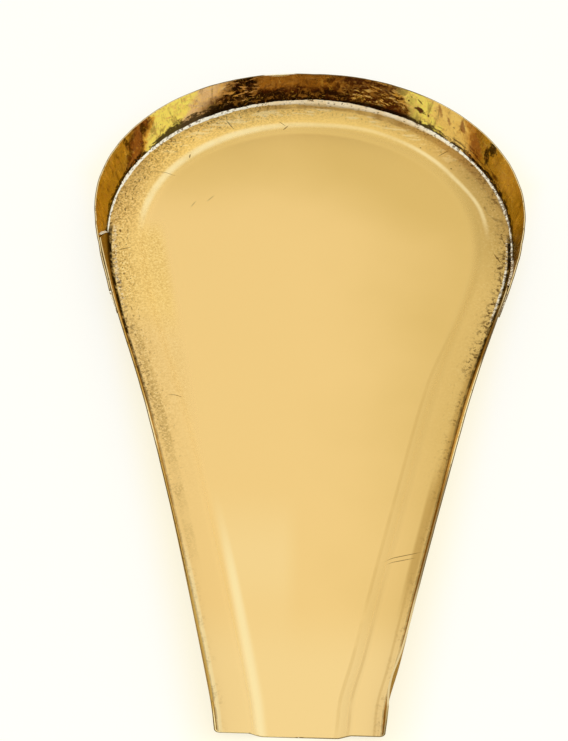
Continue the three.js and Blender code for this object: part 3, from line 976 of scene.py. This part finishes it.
class TRAY_OT_end_wall(bpy.types.Operator):
    """Build the hammered strip bent round the wide end"""

    bl_idname = "tray.end_wall"
    bl_label = "End Wall"

    def execute(self, context):
        sizes, tints = context.scene.tray_sizes, context.scene.tray_finishes
        run = between(
            foot_line(sizes, sizes.pitch * 0.75), sizes.left_setback + sizes.left_overlap,
            sizes.right_setback + sizes.right_overlap)
        low, rows = -sizes.sheet, 12
        section = [(0.0, low + (sizes.wall_height - low) * row / rows) for row in range(rows + 1)]
        bm = new_mesh()
        sweep(bm, section, run, [wall_stand(sizes, s) for s in run])
        face_towards(bm, lambda face: face.calc_center_median().y, Vector((0.0, -1.0, 0.0)))
        hammer(bm, sizes.hammer_depth, size=0.009, low=0.001, high=0.005)
        finish_sheet("round_end_wall", bm, sizes, tints, wall_finish, "end_wall")
        return {"FINISHED"}


class TRAY_OT_foot_bead(bpy.types.Operator):
    """Build the hollow fillet of brazing metal along the end wall's foot"""

    bl_idname = "tray.foot_bead"
    bl_label = "Foot Fillet"

    def execute(self, context):
        sizes = context.scene.tray_sizes
        run = between(
            foot_line(sizes, sizes.pitch * 0.4), sizes.left_setback, sizes.right_setback)
        reach, rise, sunk = sizes.fillet_reach, sizes.fillet_rise, 0.00015
        face = geometry.interpolate_bezier(
            Vector((sunk, rise)), Vector((-0.0001, rise * 0.45)),
            Vector((-reach * 0.5, 0.0001)), Vector((-reach - 0.0002, -sunk)), 9)
        section = [(sunk, -sunk), *(tuple(point) for point in face)]
        thickest, taper, smallest = (0.015, 0.055), 0.008, 0.25
        places = []
        for station in run:
            end = sizes.left_setback if station.around < 0.0 else sizes.right_setback
            uneven = 1.0 + 0.18 * noise.noise(station.foot.to_3d() * 140.0)
            bulk = bump(station.around, thickest)
            size = min(smallest + (end - station.back) / taper, uneven) * (0.62 + 0.38 * bulk)
            scale = (size * (0.92 + 0.68 * bulk), 1.0, size, 1.0)
            places.append(wall_stand(sizes, station) @ Matrix.Diagonal(scale))
        bead("foot_bead", "foot_fillet", section, run, places, context.scene.tray_finishes,
             unevenness=(0.00024, 0.0016))
        return {"FINISHED"}


class TRAY_OT_lap_beads(bpy.types.Operator):
    """Build the small beads of brazing metal at both ends of each lap"""

    bl_idname = "tray.lap_beads"
    bl_label = "Lap Beads"

    def execute(self, context):
        sizes, tints = context.scene.tray_sizes, context.scene.tray_finishes
        stations = foot_line(sizes, 0.0004)
        for name, side, setback, climb, overlap in (
                ("left", -1, sizes.left_setback, sizes.left_climb, sizes.left_overlap),
                ("right", 1, sizes.right_setback, sizes.right_climb, sizes.right_overlap)):
            self.inner_bead(sizes, tints, stations, name, side, setback, climb)
            self.outer_bead(sizes, tints, stations, name, side, setback + overlap)
        return {"FINISHED"}

    def inner_bead(self, sizes, tints, stations, name, side, setback, climb):
        """The bead on the end wall's inner face, along the folded side's climbing edge."""
        leg = sizes.bead_leg
        low = sizes.fold_radius + sizes.sheet
        slope = (sizes.wall_height - low) / climb
        run = one_side(stations, side, setback, setback + climb * 0.86)
        places = [wall_stand(sizes, s, low + slope * (s.back - setback)) for s in run]
        section = [(0.0001, 0.0), (0.0001, leg), (-leg * 0.45, leg * 0.4), (-leg, 0.0)]
        bead(f"{name}_inner_bead", f"{name}_inner_lap_fillet", section, run, places, tints,
             unevenness=(0.00006, 0.0012))

    def outer_bead(self, sizes, tints, stations, name, side, end):
        """The bead up the end wall's cut end, against the folded side's outer face."""
        run = one_side(stations, side, end - 0.0004, end + sizes.bead_leg)
        nearest, farthest = min(s.back for s in run), max(s.back for s in run)
        places = []
        for station in run:
            part = (station.back - nearest) / (farthest - nearest)
            width = 1.0 - 0.85 * part ** 0.6
            stand = Matrix.Translation((level_width(sizes, sizes.sheet, station.lean), 0.0, 0.0))
            places.append(
                placing(sizes, station) @ stand @ Matrix.Diagonal((width, 1.0, 1.0, 1.0)))
        wide = sizes.sheet + sizes.joint_gap
        low, high, rows = sizes.fold_radius + sizes.sheet, sizes.wall_height - 0.0002, 8
        outside = [(wide, low + (high - low) * row / rows) for row in range(rows + 1)]
        section = [(0.0, low), *outside, (0.0, high)]
        bead(f"{name}_outer_bead", f"{name}_outer_lap_fillet", section, run, places, tints)


class TRAY_OT_stage(bpy.types.Operator):
    """Set up the pale table, the soft studio light and the camera"""

    bl_idname = "tray.stage"
    bl_label = "Stage, Light and Camera"

    def execute(self, context):
        settings = context.scene.tray_stage
        self.table(settings)
        self.studio(context.scene, settings)
        self.lamp("softbox", settings, energy=2.0, size=(1.2, 0.9), place=(0.35, 0.25, 1.6),
                  about_y=12.0)
        self.lamp("front_fill", settings, energy=settings.fill, size=(1.0, 0.6),
                  place=(0.0, -1.10, 0.75), about_x=58.0)
        self.camera(context.scene, settings)
        context.scene.view_settings.view_transform = "Standard"
        return {"FINISHED"}

    def table(self, settings):
        """A wide pale table top just under the tray, with a warm glow round the tray's outline."""
        bm = bmesh.new()
        bmesh.ops.create_circle(bm, cap_ends=True, segments=96, radius=6.0)
        bmesh.ops.translate(bm, verts=bm.verts, vec=(0.0, 0.0, -0.0001))
        mesh = bpy.data.meshes.new("table")
        bm.to_mesh(mesh)
        bm.free()
        make = Finish("pale_table", settings.backdrop)
        x, y, _ = make.parts(make.place)
        beyond = (y - 92) | 0.0
        round_end = make.add("ShaderNodeVectorMath", {
            0: make.add("ShaderNodeCombineXYZ", {0: x / 100, 1: beyond / 90, 2: 0.0})},
            output="Value", operation="LENGTH") * 90 - 90
        side = abs(x) - (y * 0.2034 + 68.5)
        near = (round_end | (side | (-180 - y))).band(22, 2)
        make.paint(near, settings.glow)
        shaded = make.add("ShaderNodeBsdfPrincipled", {
            "Base Color": (*settings.floor_colour, 1.0), "Roughness": 0.9})
        white = make.add("ShaderNodeEmission", {
            "Color": make.coat, "Strength": near * 0.06 + 1.03})
        seen = make.add("ShaderNodeLightPath", output="Is Camera Ray")
        shader = make.add("ShaderNodeMixShader", {
            0: seen * (1.0 - settings.shadow_share), 1: shaded, 2: white})
        make.add("ShaderNodeOutputMaterial", {"Surface": shader})
        mesh.materials.append(make.material)
        table = bpy.data.objects.new("table", mesh)
        bpy.context.scene.collection.objects.link(table)

    def studio(self, scene, settings):
        """A soft room, brighter to the right and above, with a dark patch in front."""
        scene.world = bpy.data.worlds.new("studio")
        make = Nodes(scene.world)
        look = make.add("ShaderNodeTexCoord", output="Generated")
        x, y, z = make.parts(look)
        level = z.band(0.70, 0.95) * y.band(0.10, 0.50) * 0.06 + 0.955
        for direction, narrow, wide, gain in (
                ((0.66, 0.62, 0.42), 0.96, 0.78, 0.04),
                ((-0.66, 0.62, 0.42), 0.96, 0.78, -0.03),
                ((0.0, 0.0, 1.0), 0.999, 0.98, 0.02)):
            facing = make.add("ShaderNodeVectorMath", {
                0: look, 1: Vector(direction).normalized()}, output="Value",
                operation="DOT_PRODUCT")
            level = level + facing.band(wide, narrow) * gain
        dark_front = (y.band(-0.25, -0.45) * z.window(0.20, 0.32, 0.66, 0.74)
                      * x.window(-0.78, -0.58, 0.38, 0.55))
        level = level * settings.room_level * (1 - dark_front * 0.75)
        backdrop = make.add("ShaderNodeBackground", {
            "Color": (*settings.backdrop, 1.0), "Strength": 1.0})
        room = make.add("ShaderNodeBackground", {
            "Color": (1.0, 0.985, 0.95, 1.0), "Strength": level})
        seen = make.add("ShaderNodeLightPath", output="Is Camera Ray")
        glossy = make.add("ShaderNodeLightPath", output="Is Glossy Ray")
        horizon = glossy * z.band(0.22, 0.08) * y.band(-0.2, 0.1)
        mixed = make.add("ShaderNodeMixShader", {0: seen | horizon, 1: room, 2: backdrop})
        make.add("ShaderNodeOutputWorld", {"Surface": mixed})

    def lamp(self, name, settings, energy, size, place, about_x=0.0, about_y=0.0):
        """A large soft lamp that the polished metal doesn't mirror."""
        light = bpy.data.lights.new(name, "AREA")
        light.shape = "RECTANGLE"
        light.size, light.size_y = size
        light.energy = energy
        light.color = tuple(settings.softbox)
        holder = bpy.data.objects.new(name, light)
        holder.matrix_world = (
            Matrix.Translation(place) @ Matrix.Rotation(math.radians(about_x), 4, "X")
            @ Matrix.Rotation(math.radians(about_y), 4, "Y"))
        holder.visible_glossy = False
        bpy.context.scene.collection.objects.link(holder)

    def camera(self, scene, settings):
        """A camera at the photograph's viewing angle."""
        lens = bpy.data.cameras.new("camera")
        lens.sensor_width = 36.0
        lens.lens = settings.lens
        lens.shift_x, lens.shift_y = settings.shift_across, settings.shift_up
        camera = bpy.data.objects.new("camera", lens)
        camera.matrix_world = (
            Matrix.Translation((0.0, 0.0, 0.008)) @ Matrix.Rotation(settings.azimuth, 4, "Z")
            @ Matrix.Rotation(math.pi / 2 - settings.elevation, 4, "X")
            @ Matrix.Rotation(settings.roll, 4, "Z")
            @ Matrix.Translation((0.0, 0.0, settings.distance)))
        scene.collection.objects.link(camera)
        scene.camera = camera


class TRAY_PT_tools(bpy.types.Panel):
    """The tray's pieces, sizes and finishes"""

    bl_idname = "TRAY_PT_tools"
    bl_label = "Libation Tray"
    bl_space_type = "VIEW_3D"
    bl_region_type = "UI"
    bl_category = "Tray"

    def draw(self, context):
        layout = self.layout
        for operator in PIECES:
            layout.operator(operator.bl_idname)
        for heading, group in (
                ("Sizes", context.scene.tray_sizes), ("Finishes", context.scene.tray_finishes),
                ("Stage", context.scene.tray_stage)):
            box = layout.box()
            box.label(text=heading)
            for name in group.bl_rna.properties.keys():
                if name not in ("rna_type", "name"):
                    box.prop(group, name)


PIECES = (
    TRAY_OT_floor_and_sides, TRAY_OT_end_wall, TRAY_OT_foot_bead, TRAY_OT_lap_beads, TRAY_OT_stage)
CLASSES = (TraySizes, TrayFinishes, StageSettings, *PIECES, TRAY_PT_tools)


def register():
    """Registers the classes and hangs their settings on the scene."""
    for cls in CLASSES:
        bpy.utils.register_class(cls)
    bpy.types.Scene.tray_sizes = PointerProperty(type=TraySizes)
    bpy.types.Scene.tray_finishes = PointerProperty(type=TrayFinishes)
    bpy.types.Scene.tray_stage = PointerProperty(type=StageSettings)


def unregister():
    """Takes the settings and the classes away again."""
    del bpy.types.Scene.tray_stage
    del bpy.types.Scene.tray_finishes
    del bpy.types.Scene.tray_sizes
    for cls in reversed(CLASSES):
        bpy.utils.unregister_class(cls)


def main():
    """Builds the whole tray and its stage."""
    register()
    bpy.ops.tray.floor_and_sides()
    bpy.ops.tray.end_wall()
    bpy.ops.tray.foot_bead()
    bpy.ops.tray.lap_beads()
    bpy.ops.tray.stage()


if __name__ == "__main__":
    main()
